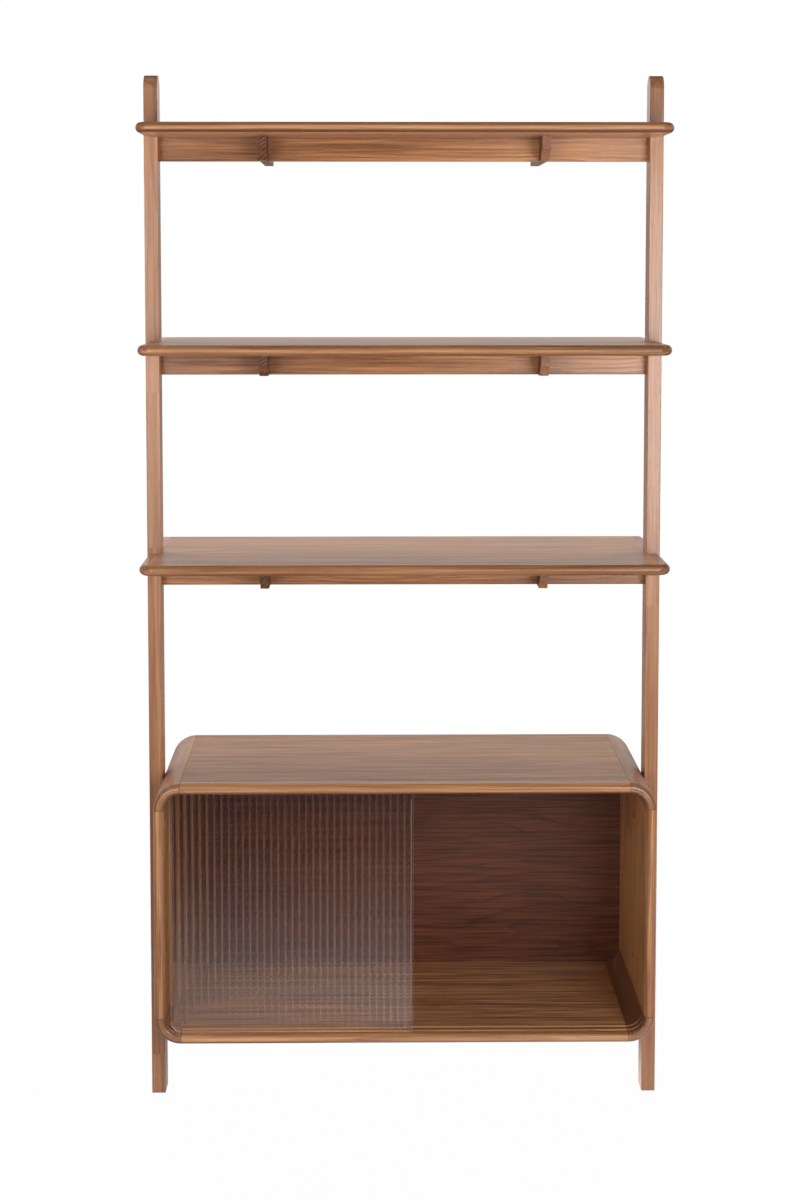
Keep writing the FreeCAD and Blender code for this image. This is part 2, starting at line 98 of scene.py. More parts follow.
class Tree:  # a material's or the world's node tree
    def __init__(self, holder):
        holder.use_nodes = True
        self.nodes = holder.node_tree.nodes
        self.links = holder.node_tree.links

    def node(self, kind, settings=None, values=None, output=0):
        made = self.nodes.new(kind)
        for name, value in (settings or {}).items():
            setattr(made, name, value)
        for key, value in (values or {}).items():
            self.feed(made.inputs[key], value)
        return Wire(self, made.outputs[output])

    def feed(self, socket, value):
        if isinstance(value, Wire):
            self.links.new(value.socket, socket)
        else:
            socket.default_value = value

    def sum(self, operation, first, second=0.0):
        return self.node("ShaderNodeMath", {"operation": operation}, {0: first, 1: second})

    def between(self, value):  # keeps a value from 0 to 1
        return self.sum("MINIMUM", self.sum("MAXIMUM", value, 0.0), 1.0)

    def point(self, x, y, z):
        return self.node("ShaderNodeCombineXYZ", values={0: x, 1: y, 2: z})

    def parts(self, vector):
        x = self.node("ShaderNodeSeparateXYZ", values={0: vector})
        return {"x": x, "y": x.other("Y"), "z": x.other("Z")}

    def noise(self, point, scale=1.0, detail=2.0, roughness=0.5):
        values = {"Vector": point, "Scale": scale, "Detail": detail, "Roughness": roughness}
        return self.node("ShaderNodeTexNoise", values=values)

    def colours(self, share, first, second):
        # inputs 6 and 7 and output 2 are the Mix node's colours
        return self.node("ShaderNodeMix", {"data_type": "RGBA"}, {0: share, 6: first, 7: second}, 2)


def fromScreen(colour):  # a colour read on a screen, 0 to 255, as linear light
    def linear(value):
        value = value / 255
        return value / 12.92 if value <= 0.04045 else ((value + 0.055) / 1.055) ** 2.4
    return (*map(linear, colour), 1.0)


# Wood

# along: the axis of the grain
# light, dark, line: colours, as read on a screen, of the wood and of its growth lines
# gap: from one growth line to the next; depth: how dark the lines are; thin: how narrow
# wander: how far the lines wave; pith: the middle of the rings, across and deep
# broad, streak, fine: strength of the wide, the narrow and the finest streaks
# endDark: how much darker end grain is; and for a round nose, how much painted shade darkens it beside its
# middle, where it turns from the light
boards = {
    "post": {"along": "z", "light": (212, 158, 120), "dark": (156, 104, 70), "line": (116, 72, 48),
             "gap": 0.0075, "depth": 0.50, "wander": 0.030, "pith": (0.045, 0.060), "thin": 2.5,
             "broad": 0.9, "streak": 1.3, "fine": 0.6, "endDark": 0.6,
             "roughness": 0.24, "specular": 0.60},
    "edging": {"along": "x", "light": (226, 170, 122), "dark": (158, 104, 62), "line": (104, 58, 32),
               "gap": 0.0070, "depth": 0.55, "wander": 0.020, "pith": (0.050, 0.030), "thin": 2.5,
               "broad": 1.6, "streak": 1.8, "fine": 1.2, "endDark": 0.3, "noseShade": 0.60,
               "roughness": 0.26, "specular": 0.50},
    "shelf": {"along": "x", "light": (206, 150, 106), "dark": (124, 80, 52), "line": (84, 48, 30),
              "gap": 0.0090, "depth": 0.45, "wander": 0.050, "pith": (0.050, 0.120), "thin": 2.5,
              "broad": 1.4, "streak": 2.2, "fine": 2.0, "endDark": 0.6,
              "roughness": 0.33, "specular": 0.50},
    "rail": {"along": "x", "light": (200, 140, 90), "dark": (122, 75, 43), "line": (84, 46, 26),
             "gap": 0.0062, "depth": 0.75, "wander": 0.055, "pith": (0.020, 0.040), "thin": 3.0,
             "broad": 2.4, "streak": 1.2, "fine": 1.6, "endDark": 0.6,
             "roughness": 0.27, "specular": 0.60},
    "bearer": {"along": "y", "light": (160, 104, 70), "dark": (98, 56, 34), "line": (30, 14, 9),
               "gap": 0.0060, "depth": 1.00, "wander": 0.003, "thin": 1.0,
               "broad": 0.6, "streak": 0.8, "fine": 0.3, "endDark": 0.1,
               "roughness": 0.38, "specular": 0.35},
    "corner": {"along": "y", "light": (198, 140, 96), "dark": (128, 80, 50), "line": (80, 44, 26),
               "gap": 0.0045, "depth": 0.60, "wander": 0.008, "thin": 2.5,
               "broad": 1.0, "streak": 1.2, "fine": 0.6, "endDark": 0.0, "noseShade": 0.60,
               "roughness": 0.33, "specular": 0.70},
    "cabinet": {"along": "x", "light": (204, 148, 100), "dark": (116, 74, 46), "line": (74, 42, 24),
                "gap": 0.0080, "depth": 0.40, "wander": 0.040, "pith": (0.080, 0.100), "thin": 2.5,
                "broad": 0.4, "streak": 1.7, "fine": 2.3, "endDark": 0.6,
                "roughness": 0.34, "specular": 0.60},
    "side": {"along": "z", "light": (214, 154, 98), "dark": (126, 80, 48), "line": (84, 48, 28),
             "gap": 0.0090, "depth": 0.65, "wander": 0.040, "pith": (0.110, 0.080), "thin": 2.5,
             "broad": 0.7, "streak": 2.2, "fine": 2.4, "endDark": 0.6,
             "roughness": 0.34, "specular": 0.50},
    "back": {"along": "x", "light": (118, 66, 44), "dark": (72, 37, 23), "line": (24, 12, 8),
             "gap": 0.0085, "depth": 0.85, "wander": 0.075, "pith": (0.140, 0.060), "thin": 7.0,
             "broad": 0.5, "streak": 0.8, "fine": 2.8, "endDark": 0.6,
             "roughness": 0.34, "specular": 0.40},
    "dowel": {"along": "x", "light": (214, 178, 138), "dark": (196, 158, 118), "line": (170, 130, 92),
              "gap": 0.0020, "depth": 0.30, "wander": 0.004, "pith": (0.010, 0.010), "thin": 2.5,
              "broad": 0.6, "streak": 0.8, "fine": 0.3, "endDark": 0.2,
              "roughness": 0.60, "specular": 0.40},
}
boards["upright"] = dict(boards["edging"], along="z", streak=2.6, fine=2.2)
boards["darkEdging"] = dict(boards["edging"], light=(206, 152, 106), dark=(132, 84, 50), noseShade=0.50)
# the top shelf's edging takes more painted shade beside its nose's middle
boards["topEdging"] = dict(boards["edging"], noseShade=0.95)
boards["floor"] = dict(boards["cabinet"], depth=0.85, streak=3.2, fine=4.0)
boards["paleBearer"] = dict(boards["bearer"], light=(194, 138, 102), line=(106, 66, 46), depth=0.5)

grain = {
    # cells of noise in a metre along and across the grain, and their detail
    "wave": (2.2, 7.0, 3.0),
    "broad": (1.3, 22.0, 2.0),
    "streak": (2.8, 115.0, 5.0),
    "fine": (7.0, 340.0, 3.0),
    "fibre": (26.0, 900.0, 2.0),
    "pore": (110.0, 1900.0, 1.0),
    "noiseRoughness": 0.55,
    "noiseMiddle": 0.5,
    "cutAlong": 3.7,         # how far apart in the tree two boards are cut, for a shift of 1
    "cutAcross": 0.9,
    "jointAlong": 0.61,      # the same for two glued-up lengths of one board
    "jointAcross": 0.037,
    "endFrom": 0.75,         # how far a face has to look along the grain to show end grain
    "endEdge": 6.0,
    "lineEdge": 12.0,        # how sharply a growth line ends
    "lineShare": 0.55,       # how strong the lines are on the whole
    "lineBroad": 2.6,        # and how much that changes with the broad streaks
    "fibreShare": 0.5,
    "poreFrom": 0.08,
    "poreEdge": 9.0,
    "poreDarkness": 0.25,
    "seamWidth": 0.0011,
    "seamDarkness": 0.8,
    "seam": (60, 36, 24),
    # the next two shape the painted shade beside a round nose's middle, which leaves the nose looking lit a
    # little below its middle
    "noseEdge": 1.5,         # how narrow the dark bands beside a nose's middle are
    "noseTop": 0.7,          # how much weaker they are over the middle, and stronger under it
    # the pale core on a groove's walls, partly the board's own core and partly painted light on the walls
    "core": (190, 142, 100),
    "coreEdge": 4.0,         # how squarely a face has to look forward or back to show the core
    "streakRoughness": 0.12,
    "poreRoughness": 0.1,
    "fibreRelief": 0.4,
    "poreRelief": 0.6,
    "lineRelief": 0.2,
    "reliefStrength": 0.35,
    "reliefDepth": 0.00012,
}


def changedTone(tone, place, facing, drift=0.0, away=0.0, sideways=0.0, inward=0.0):
    # drift: tone change in a metre to the right
    # away, sideways: painted shade, a tone change of faces that don't look forward, and of faces that look
    # to a side
    # inward: painted light and shade, a tone change of faces that look left, the opposite of it for those
    # that look right
    if drift:
        tone = tone + place["x"] * drift
    if away:
        tone = tone + (1.0 - facing["y"] ** 2.0) * away
    if sideways:
        tone = tone + facing["x"] ** 2.0 * sideways
    if inward:
        tone = tone - facing["x"] * inward
    return tone


def growthLines(tree, look, fromPith, wave, broad, endGrain):
    # rings round a pith beside the board, waved along the grain, each dark towards its outside
    ring = tree.sum("SQRT", fromPith[0] ** 2.0 + fromPith[1] ** 2.0) + wave * look["wander"]
    part = tree.sum("FRACT", ring / look["gap"])
    line = part ** look["thin"] * tree.between((1.0 - part) * grain["lineEdge"])
    return line * tree.between(grain["lineShare"] + broad * grain["lineBroad"] + endGrain)


def paintedNoseShade(tree, look, facing, nose):
    # painted shade on a round nose: aside runs from 0 on the nose's middle to 1 on the flat faces, and
    # beside is 1 halfway, where the nose is painted darkest
    aside = facing["z"] ** 2.0 if nose == "z" else 1.0 - facing["y"] ** 2.0
    beside = tree.between((4.0 * aside * (1.0 - aside)) ** grain["noseEdge"])
    return beside * (look["noseShade"] * (1.0 - facing["z"] * grain["noseTop"]))


def glueLines(tree, place, seams):
    glue = 0.0
    for axis, distance in seams:
        near = tree.between(1.0 - abs(abs(place[axis]) - distance) / grain["seamWidth"])
        glue = tree.sum("MAXIMUM", glue, near)
    return glue


def woodFinish(name, board, shift, tone=0.5, joints=(), seams=(), pith=None, nose="", turned=False,
               sawnCoreAndLight=0.0, **changes):
    # shift: which part of the tree the board is cut from; tone: from 0, dark, to 1, light
    # joints: (height, tone change) of steps in tone up a board, some of them glued-up lengths; seams: (axis,
    # distance) of dark glue lines
    # pith: the middle of the rings, where it isn't the board's own
    # nose: "z" or "y", the axis across a round nose or out of it; painted shade darkens the nose beside its
    # middle, so that the middle looks lit
    # turned: past the mitre of a front corner the grain follows the side
    # and last, how much of the pale core shows on a groove's walls: partly the board's own core and partly
    # painted light on those walls
    look = boards[board]
    tree = Tree(bpy.data.materials.new(name))
    coordinates = tree.node("ShaderNodeTexCoord", output="Object")
    place = tree.parts(coordinates)
    facing = tree.parts(coordinates.other("Normal"))
    # painted light and shade, by the way each face looks
    tone = changedTone(tone, place, facing, **changes)
    along, across, deep = {
        "x": (place["x"], place["y"], place["z"]),
        "y": (place["y"], place["x"], place["z"]),
        "z": (place["z"], place["x"], place["y"]),
    }[look["along"]]
    if turned:
        onSide = tree.sum("GREATER_THAN", abs(place["x"]) + cadLow.x, cadLow.y - place["y"])
        along, across = along + onSide * (across - along), across + onSide * (along - across)
    for height, change in joints:
        above = tree.sum("GREATER_THAN", place["z"], height)
        along = along + above * grain["jointAlong"]
        across = across + above * grain["jointAcross"]
        tone = tone + above * change
    cut = shift * grain["cutAcross"]
    if pith is None:
        pith = (look["pith"][0] - cut, look["pith"][1])
    fromPith = (across - pith[0], deep - pith[1])
    along = along + shift * grain["cutAlong"]
    across = across + cut

    def cells(kind):  # noise about nought, in cells that are long along the grain
        alongScale, acrossScale, detail = grain[kind]
        point = tree.point(along * alongScale, across * acrossScale, deep * acrossScale)
        return tree.noise(point, detail=detail, roughness=grain["noiseRoughness"]) - grain["noiseMiddle"]

    wave, broad, streak, fine, fibre = map(cells, ("wave", "broad", "streak", "fine", "fibre"))
    pore = tree.between((cells("pore") - grain["poreFrom"]) * grain["poreEdge"])
    endGrain = tree.between((abs(facing[look["along"]]) - grain["endFrom"]) * grain["endEdge"])
    line = growthLines(tree, look, fromPith, wave, broad, endGrain)
    mixed = tree.between(
        tone + broad * look["broad"] + streak * look["streak"] + fine * look["fine"]
        + fibre * grain["fibreShare"] - endGrain * look["endDark"]
    )
    lineColour = fromScreen(look["line"])
    colour = tree.colours(mixed, fromScreen(look["dark"]), fromScreen(look["light"]))
    colour = tree.colours(line * look["depth"], colour, lineColour)
    colour = tree.colours(pore * grain["poreDarkness"], colour, lineColour)
    # painted shade beside the middle of a round nose
    if nose:
        colour = tree.colours(paintedNoseShade(tree, look, facing, nose), colour, lineColour)
    # pale core on the groove walls, partly painted light on them
    if sawnCoreAndLight:
        colour = tree.colours(facing["y"] ** grain["coreEdge"] * sawnCoreAndLight, colour, fromScreen(grain["core"]))
    if seams:
        glue = glueLines(tree, place, seams) * grain["seamDarkness"]
        colour = tree.colours(glue, colour, fromScreen(grain["seam"]))

    roughness = look["roughness"] + streak * grain["streakRoughness"] + pore * grain["poreRoughness"]
    relief = fibre * grain["fibreRelief"] - pore * grain["poreRelief"] - line * grain["lineRelief"]
    values = {"Strength": grain["reliefStrength"], "Distance": grain["reliefDepth"], "Height": relief}
    inputs = tree.nodes["Principled BSDF"].inputs
    tree.feed(inputs["Base Color"], colour)
    tree.feed(inputs["Specular IOR Level"], look["specular"])
    tree.feed(inputs["Roughness"], roughness)
    tree.feed(inputs["Normal"], tree.node("ShaderNodeBump", values=values))
    return bpy.data.materials[name]


def dress(node, finish):
    for slot in nodes[node].material_slots:
        slot.material = finish


# Posts, glued up from lengths of different tone, and darker above 1.70 m

posts = {
    # the posts' side faces are painted darker, as painted shade
    "post_left": {
        "shift": 0.31, "tone": 0.22, "sideways": -0.12,
        "joints": ((0.0704, -0.10), (0.2100, 0.02), (0.9800, 0.38), (1.2521, 0.08), (1.7000, -0.28)),
    },
    "post_right": {
        "shift": 0.62, "tone": 0.30, "sideways": -0.12,
        "joints": ((0.8759, 0.08), (1.7000, -0.12)),
    },
}


def dressPosts():
    for node, look in posts.items():
        dress(node, woodFinish(node + "Wood", "post", **look))


# Shelves, with their edgings, rails and bearers

shelves = {
    "lower": {"number": 2, "edging": {"board": "darkEdging", "tone": 0.32, "drift": -0.75}},
    "middle": {"number": 3, "edging": {"board": "darkEdging", "tone": 0.45, "drift": -0.60}},
    "top": {"number": 4, "edging": {"board": "topEdging", "tone": 0.42}},
}
shelfWood = {
    "tone": 0.75,
    "shelfShift": 0.17,      # shift from one level's board to the next, for each kind
    "edgingShift": 0.23,
    "rearEdgingShift": 0.29,
    "railShift": 0.41,
    "bearerShift": 0.13,
    "leftBearerShift": 0.05,
    # painted shade: edgings darker where they look to a side, at the tips of their noses, and bearers darker
    # on their side faces
    "edgingSideways": -0.70,
    "bearerSideways": -0.60,
    "bearerPith": (0.050, -0.040),   # from the lower left corner of its end grain
}


def dressShelves():
    for level, look in shelves.items():
        number = look["number"]
        shift = shelfWood["shelfShift"] * number
        veneer = woodFinish(level + "ShelfVeneer", "shelf", shift, tone=shelfWood["tone"])
        dress("shelf_" + level, veneer)
        edging = dict(look["edging"], sideways=shelfWood["edgingSideways"], nose="z")
        shift = shelfWood["edgingShift"] * number
        front = woodFinish(level + "EdgingWood", shift=shift, turned=True, **edging)
        shift = shelfWood["rearEdgingShift"] * number
        rear = woodFinish(level + "RearEdgingWood", shift=shift, **edging)
        dress("edging_" + level, front)
        dress("edging_" + level + "_rear_left", rear)
        dress("edging_" + level + "_rear_right", rear)
        dress("rail_" + level, woodFinish(level + "RailWood", "rail", shelfWood["railShift"] * number))
        shift = shelfWood["bearerShift"] * number
        dressBearer(level, "left", "bearer", shift + shelfWood["leftBearerShift"])
        dressBearer(level, "right", "paleBearer", shift)


def dressBearer(level, side, board, shift):
    node = "bearer_" + level + "_" + side
    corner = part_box(node)[0]
    toRight, up = shelfWood["bearerPith"]
    pith = (corner.x + toRight, corner.z + up)
    dress(node, woodFinish(node + "Wood", board, shift, sideways=shelfWood["bearerSideways"], pith=pith))


# Cabinet

cabinet = {
    "cabinet_top": {"board": "cabinet", "shift": 1.9, "tone": 0.50},
    # its groove walls show the pale core, partly painted light on them
    "cabinet_bottom": {"board": "floor", "shift": 2.6, "tone": 0.58, "sawnCoreAndLight": 0.9},
    # painted light and shade: the sides' inner faces are lighter and their outer faces darker
    "cabinet_side_left": {"board": "side", "shift": 0.8, "tone": 0.62, "inward": -0.20},
    "cabinet_side_right": {"board": "side", "shift": 1.7, "tone": 0.62, "inward": 0.20},
    "cabinet_back": {"board": "back", "shift": 0.6, "tone": 0.44},
    "cabinet_edging_top": {"board": "edging", "shift": 1.3, "tone": 0.44},
    # painted shade: the bottom edging's faces that don't look forward, such as the lip's top, are darker
    "cabinet_edging_bottom": {"board": "edging", "shift": 2.2, "tone": 0.62, "drift": -0.35, "away": -0.50},
    "cabinet_edging_left": {"board": "upright", "shift": 1.2, "tone": 0.30},
    "cabinet_edging_right": {"board": "upright", "shift": 2.1, "tone": 0.30},
    # painted shade: the corners' faces that look to a side are darker
    "corner_top_left": {"board": "corner", "shift": 0.9, "tone": 0.65, "sideways": -0.25},
    "corner_top_right": {"board": "corner", "shift": 1.8, "tone": 0.45, "sideways": -0.25},
    "corner_bottom_left": {"board": "corner", "shift": 0.9, "tone": 0.45, "sideways": -0.25},
    # painted shade: the lower right corner is also darker on faces that don't look forward, its inside cove
    "corner_bottom_right": {"board": "corner", "shift": 1.8, "tone": 0.45, "sideways": -0.25, "away": -0.60},
}


def cabinetSeams():  # the glue lines of each piece, where the straight panels end
    floorLow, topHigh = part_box("cabinet_bottom")[0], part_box("cabinet_top")[1]
    sideLow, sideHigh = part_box("cabinet_side_right")
    ends = ("x", topHigh.x)
    front = ("y", -floorLow.y)
    seams = {"cabinet_top": (ends, front), "cabinet_bottom": (ends, front),
             "cabinet_edging_top": (ends,), "cabinet_edging_bottom": (ends,)}
    piths = {}
    for side, x in (("left", -topHigh.x), ("right", topHigh.x)):
        seams["cabinet_edging_" + side] = (("z", sideLow.z), ("z", sideHigh.z))
        for end, z in (("bottom", sideLow.z), ("top", sideHigh.z)):
            node = "corner_" + end + "_" + side
            seams[node] = (ends, ("z", z))
            piths[node] = (x, z)
    return seams, piths


def dressCabinet():
    seams, piths = cabinetSeams()
    for node, look in cabinet.items():
        nose = "y" if "noseShade" in boards[look["board"]] else ""  # edgings and corners have one
        look = dict(look, seams=seams.get(node, ()), pith=piths.get(node), nose=nose)
        dress(node, woodFinish(node + "Wood", **look))


dressPosts()
dressShelves()
dressCabinet()
dowelWood = woodFinish("dowelWood", "dowel", shift=0.2)
dress("rail_dowels", dowelWood)
dress("corner_dowels", dowelWood)
print("wood finished")


# Metal

metals = {
    "darkSteel": {"colour": (52, 46, 42), "wear": (92, 84, 78), "roughness": 0.42, "metallic": 0.9,
                  "nodes": ("frame_bolts", "cabinet_bolts")},
    "zincSteel": {"colour": (196, 197, 200), "wear": (160, 162, 168), "roughness": 0.34, "metallic": 1.0,
                  "nodes": ("barrel_nuts", "threaded_inserts", "bearer_screws", "back_screws",
                            "bracket_screws", "wall_brackets")},
}
wear = {"scale": 420.0, "detail": 3.0, "roughness": 0.2}


def metalFinish(name):
    look = metals[name]
    tree = Tree(bpy.data.materials.new(name))
    cloud = tree.noise(tree.node("ShaderNodeTexCoord", output="Object"), wear["scale"], wear["detail"])
    inputs = tree.nodes["Principled BSDF"].inputs
    colour = tree.colours(cloud, fromScreen(look["colour"]), fromScreen(look["wear"]))
    tree.feed(inputs["Base Color"], colour)
    tree.feed(inputs["Metallic"], look["metallic"])
    tree.feed(inputs["Roughness"], look["roughness"] + (cloud - grain["noiseMiddle"]) * wear["roughness"])
    return bpy.data.materials[name]


for name, look in metals.items():
    finish = metalFinish(name)
    for node in look["nodes"]:
        dress(node, finish)
print("metal finished")


# Fluted glass doors

sharpAngle = 15  # edges from this many degrees on look sharp

glass = {
    "pitch": 0.012,
    "rise": 0.0009,          # of a flute over the valleys beside it
    "phase": -0.398,         # where a valley lies
    "flutesLeft": 4,         # flutes to the left of that valley
    "flutesRight": 80,
    "facets": 12,            # strips across one flute
    "endStrip": 0.0003,      # least width of the strip at either end
    "rows": 6,
    "cornerSteps": 14,
    "outerRadius": 0.024,
    "innerRadius": 0.010,
    "arris": 0.0009,
    "arrisSegments": 2,
    "arrisAngle": 60,
    "colour": (0.99, 0.96, 0.95, 1.0),
    "shadow": (0.90, 0.89, 0.88, 1.0),   # what its shadow lets through
    "roughness": 0.03,
    "ior": 1.5,
}
ground = {
    "dark": (0.40, 0.46, 0.44, 1.0),
    "light": (0.60, 0.66, 0.64, 1.0),
    "scale": 900.0,
    "roughness": 0.45,
    "roughnessChange": 0.2,
    "transmission": 0.4,
}


def glassFinish():
    tree = Tree(bpy.data.materials.new("flutedGlass"))
    shader = tree.nodes["Principled BSDF"]
    for name, value in (("Base Color", glass["colour"]), ("Roughness", glass["roughness"]),
                        ("IOR", glass["ior"]), ("Transmission Weight", 1.0)):
        shader.inputs[name].default_value = value
    clear = tree.node("ShaderNodeBsdfTransparent", values={0: glass["shadow"]})
    shadowRay = tree.node("ShaderNodeLightPath", output="Is Shadow Ray")
    values = {0: shadowRay, 1: Wire(tree, shader.outputs[0]), 2: clear}
    tree.feed(tree.nodes["Material Output"].inputs[0], tree.node("ShaderNodeMixShader", values=values))
    return bpy.data.materials["flutedGlass"]


def groundFinish():  # the ground rim of a pane
    tree = Tree(bpy.data.materials.new("groundGlass"))
    cloud = tree.noise(tree.node("ShaderNodeTexCoord", output="Object"), ground["scale"])
    inputs = tree.nodes["Principled BSDF"].inputs
    tree.feed(inputs["Base Color"], tree.colours(cloud, ground["dark"], ground["light"]))
    tree.feed(inputs["Roughness"], ground["roughness"] + cloud * ground["roughnessChange"])
    inputs["Transmission Weight"].default_value = ground["transmission"]
    return bpy.data.materials["groundGlass"]


def glassPane(name, node, leftRadius, rightRadius):
    # A column of points stands at each x. The front sheet is flat; the back one falls by
    # rise * (2 t - 1)^2 from the top of each flute, t running from 0 to 1 across it. Each
    # column ends on the outline, whose corners are quarter circles.
    low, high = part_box(node)
    turn = np.linspace(0, math.pi / 2, glass["cornerSteps"])
    facets = glass["facets"]
    strips = np.arange(-glass["flutesLeft"] * facets, glass["flutesRight"] * facets) / facets
    flutes = glass["phase"] + glass["pitch"] * strips
    flutes = flutes[(flutes > low.x + glass["endStrip"]) & (flutes < high.x - glass["endStrip"])]
    x = np.concatenate([
        low.x + leftRadius * (1 - np.cos(turn)),
        high.x - rightRadius * (1 - np.cos(turn)),
        flutes,
    ])
    x = np.unique(np.round(x, 6))  # to a micrometre, so that no column stands there twice
    left = np.clip(leftRadius - (x - low.x), 0, leftRadius)
    right = np.clip(rightRadius - (high.x - x), 0, rightRadius)
    cut = leftRadius - np.sqrt(leftRadius ** 2 - left ** 2)
    cut = cut + rightRadius - np.sqrt(rightRadius ** 2 - right ** 2)
    share = np.linspace(0, 1, glass["rows"])[:, None]
    z = (low.z + cut) * (1 - share) + (high.z - cut) * share
    t = np.mod((x - glass["phase"]) / glass["pitch"], 1.0)
    back = high.y - glass["rise"] * (2 * t - 1) ** 2
    xs = np.broadcast_to(x, z.shape)
    frontSheet = np.stack([xs, np.full_like(z, low.y), z], axis=2)
    backSheet = np.stack([xs, np.broadcast_to(back, z.shape), z], axis=2)
    points = np.concatenate([frontSheet.reshape(-1, 3), backSheet.reshape(-1, 3)])
    index = np.arange(z.size).reshape(z.shape)
    far = index + z.size
    sheets = [quads(index), quads(far)[:, ::-1]]
    rim = [
        strip(index[0], far[0])[:, ::-1],
        strip(index[-1], far[-1]),
        strip(index[:, 0], far[:, 0]),
        strip(index[:, -1], far[:, -1])[:, ::-1],
    ]
    pane = surface(name, points, np.concatenate(sheets + rim))
    pane.data.materials.append(flutedGlass)
    pane.data.materials.append(groundGlass)
    onRim = np.arange(len(pane.data.polygons)) >= sum(map(len, sheets))
    pane.data.polygons.foreach_set("material_index", onRim.astype(np.int32))
    bevel = pane.modifiers.new("arris", "BEVEL")
    bevel.material = 1
    bevel.width = glass["arris"]
    bevel.segments = glass["arrisSegments"]
    bevel.limit_method = "ANGLE"
    bevel.angle_limit = math.radians(glass["arrisAngle"])
    return pane


def quads(index):  # the faces of a grid of point numbers, counted round each cell
    return np.stack([index[:-1, :-1], index[:-1, 1:], index[1:, 1:], index[1:, :-1]], axis=2).reshape(-1, 4)


def strip(first, second):  # the faces between two rows of point numbers
    return np.stack([first[:-1], first[1:], second[1:], second[:-1]], axis=1)


def surface(name, points, faces):
    mesh = bpy.data.meshes.new(name)
    mesh.from_pydata(points.tolist(), [], faces.tolist())
    mesh.validate()
    mesh.shade_smooth()
    mesh.set_sharp_from_angle(angle=math.radians(sharpAngle))
    made = bpy.data.objects.new(name, mesh)
    bpy.context.scene.collection.objects.link(made)
    return made


flutedGlass = glassFinish()
groundGlass = groundFinish()
for side, leftRadius, rightRadius in (
    ("front", glass["outerRadius"], glass["innerRadius"]),
    ("rear", glass["innerRadius"], glass["outerRadius"]),
):
    pane = glassPane(side + "_pane", "door_" + side, leftRadius, rightRadius)
    dress("door_" + side, flutedGlass)
    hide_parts("door_" + side)
    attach(pane, side + "_door")
print("glass doors made")


# Studio, with angles in degrees, the lens in millimetres and power in watts

camera = {
    "place": (-0.05752, -3.73748, 1.48585),
    "pitch": 4.43,
    "yaw": 0.67,
    "lens": 63.70,
    "shift": (0.00355, -0.1482),
}

lamps = {
    "leftSoftbox": {"place": (-1.18, -2.10, 1.20), "aim": (-0.3, 0.0, 1.20), "size": (1.0, 1.12),
                    "power": 18.5},
    "rightSoftbox": {"place": (1.05, -2.10, 1.20), "aim": (0.3, 0.0, 1.20), "size": (1.0, 1.12),
                     "power": 26.0},
    "frontFill": {"place": (0.0, -2.60, 1.10), "aim": (0.0, 0.0, 1.00), "size": (2.4, 0.30), "power": 4.5,
                  "hidden": True},
    "floorGlow": {"place": (0.0, -1.65, 0.02), "aim": (0.0, -1.25, 2.00), "size": (4.0, 1.7), "power": 9.0,
                  "hidden": True},
}

# an edge and a start give a fading share: value * edge + start, kept from 0 to 1
room = {
    "ambient": 0.07,         # light that the room sends to matt surfaces
    "ambientBehind": 2.40,   # more of it from the upper part of the white wall behind
    "behindEdge": 2.5,
    "behindStart": -0.1,
    "behindRise": 3.0,
    "dark": 0.03,            # how bright the dark side of the room looks in the varnish
    "wallEdge": 4.0,         # the white wall ends to the sides
    "wallStart": 0.6,
    "ceilingEdge": 4.0,
    "ceilingStart": 0.15,    # sine of the height where the wall ends
    "lowWall": 0.28,         # how bright the wall is under the horizon
    "horizonEdge": 20.0,
    "horizonStart": -0.5,
}

floor = {
    "size": 30.0,
    "colour": (0.60, 0.60, 0.60, 1.0),
    "roughness": 0.9,
    "glowNear": 0.98,        # share of plain white under the object, where the floor takes its shadow
    "glowEdge": 0.9,
    "glowStart": -0.6,
    "behindGloss": 0.40,     # how bright the floor behind the unit looks in the varnish
    "behindEdge": 4.0,
    "paperGloss": 0.50,      # how bright the floor in front looks in glass and varnish
    "paperNear": 0.79,       # it fades from this distance
    "paperFade": 1.30,       # over this length
    "paperPower": 2.5,
    "sideGloss": 1.15,       # the floor to the right, which lights one side of each flute
    "sideColour": (1.0, 0.80, 0.70, 1.0),
    "sideFrom": -0.25,
    "sideSlope": 0.42,       # how far its edge runs outwards in a metre towards the camera
    "sideEdge": 8.0,
    "sideStart": 1.15,
    "sideFade": 2.00,
}


def makeCamera():
    made = bpy.data.objects.new("camera", bpy.data.cameras.new("camera"))
    bpy.context.scene.collection.objects.link(made)
    made.location = camera["place"]
    made.rotation_euler = (math.radians(90 - camera["pitch"]), 0, math.radians(-camera["yaw"]))
    made.data.lens = camera["lens"]
    made.data.shift_x, made.data.shift_y = camera["shift"]
    bpy.context.scene.camera = made


def makeLamps():
    for name, look in lamps.items():
        data = bpy.data.lights.new(name, "AREA")
        data.shape = "RECTANGLE"
        data.size, data.size_y = look["size"]
        data.energy = look["power"]
        lamp = bpy.data.objects.new(name, data)
        bpy.context.scene.collection.objects.link(lamp)
        lamp.location = look["place"]
        if look.get("hidden"):  # lights matt surfaces only
            lamp.visible_camera = lamp.visible_glossy = lamp.visible_transmission = False
        direction = Vector(look["aim"]) - Vector(look["place"])
        lamp.rotation_euler = direction.to_track_quat("-Z", "Y").to_euler()


def rays(tree):  # the camera's own rays, and those that varnish and glass send on
    direct = tree.node("ShaderNodeLightPath", output="Is Camera Ray")
    sentOn = tree.between(direct.other("Is Glossy Ray") + direct.other("Is Transmission Ray"))
    return direct, sentOn * (1.0 - direct)


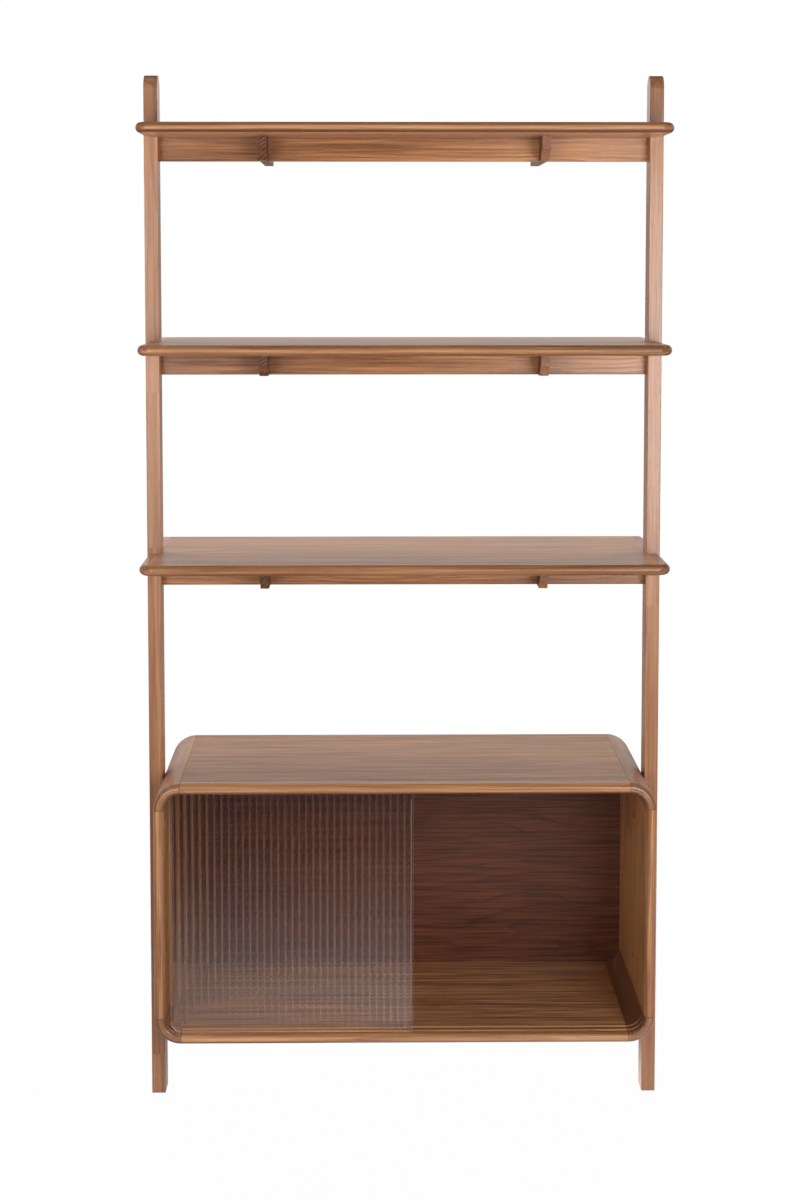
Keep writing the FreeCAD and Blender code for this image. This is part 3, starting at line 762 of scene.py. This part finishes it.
def makeWorld():
    world = bpy.data.worlds.new("studioWorld")
    bpy.context.scene.world = world
    tree = Tree(world)
    direction = tree.parts(tree.node("ShaderNodeTexCoord", output="Generated"))
    backwards, up = direction["y"], direction["z"]
    ceiling = tree.between((up - room["ceilingStart"]) * room["ceilingEdge"])
    wall = tree.between(backwards * room["wallEdge"] + room["wallStart"]) * (1.0 - ceiling)
    overHorizon = tree.between(up * room["horizonEdge"] + room["horizonStart"])
    wall = wall * (room["lowWall"] + overHorizon * (1.0 - room["lowWall"]))
    behind = tree.between(backwards * room["behindEdge"] + room["behindStart"])
    behind = behind * tree.between(up * room["behindRise"])
    matt = room["ambient"] + behind * room["ambientBehind"]
    varnish = room["dark"] + wall * (1.0 - room["dark"])
    direct, sentOn = rays(tree)
    strength = direct + (1.0 - direct) * (matt + sentOn * (varnish - matt))
    background = tree.nodes["Background"]
    background.inputs[0].default_value = (1.0, 1.0, 1.0, 1.0)
    tree.feed(background.inputs[1], strength)


def makeFloor():
    half = floor["size"] / 2
    points = np.array([[-half, -half, 0], [half, -half, 0], [half, half, 0], [-half, half, 0]], float)
    made = surface("floor", points, np.array([[0, 1, 2, 3]]))
    tree = Tree(bpy.data.materials.new("paleFloor"))
    shader = tree.nodes["Principled BSDF"]
    shader.inputs["Base Color"].default_value = floor["colour"]
    shader.inputs["Roughness"].default_value = floor["roughness"]
    place = tree.parts(tree.node("ShaderNodeTexCoord", output="Object"))
    x, y = place["x"], place["y"]
    away = tree.between(tree.sum("SQRT", x * x + y * y) * floor["glowEdge"] + floor["glowStart"])
    glowShare = floor["glowNear"] + away * (1.0 - floor["glowNear"])
    near = tree.between(1.0 + (y + floor["paperNear"]) / floor["paperFade"]) ** floor["paperPower"]
    beside = tree.between((x - floor["sideFrom"] + y * floor["sideSlope"]) * floor["sideEdge"])
    beside = beside * tree.between(floor["sideStart"] + y / floor["sideFade"])
    gloss = near * floor["paperGloss"] + beside * floor["sideGloss"]
    behind = tree.between(y * floor["behindEdge"])
    gloss = room["dark"] + gloss + behind * (floor["behindGloss"] - gloss)
    direct, sentOn = rays(tree)
    tint = tree.colours(beside * (1.0 - direct), (1.0, 1.0, 1.0, 1.0), floor["sideColour"])
    glow = tree.node("ShaderNodeEmission", values={0: tint, 1: direct + sentOn * gloss})
    values = {0: (direct + sentOn) * glowShare, 1: Wire(tree, shader.outputs[0]), 2: glow}
    tree.feed(tree.nodes["Material Output"].inputs[0], tree.node("ShaderNodeMixShader", values=values))
    made.data.materials.append(bpy.data.materials["paleFloor"])


makeCamera()
makeLamps()
makeWorld()
makeFloor()
bpy.context.scene.view_settings.view_transform = "Standard"
print("studio set")
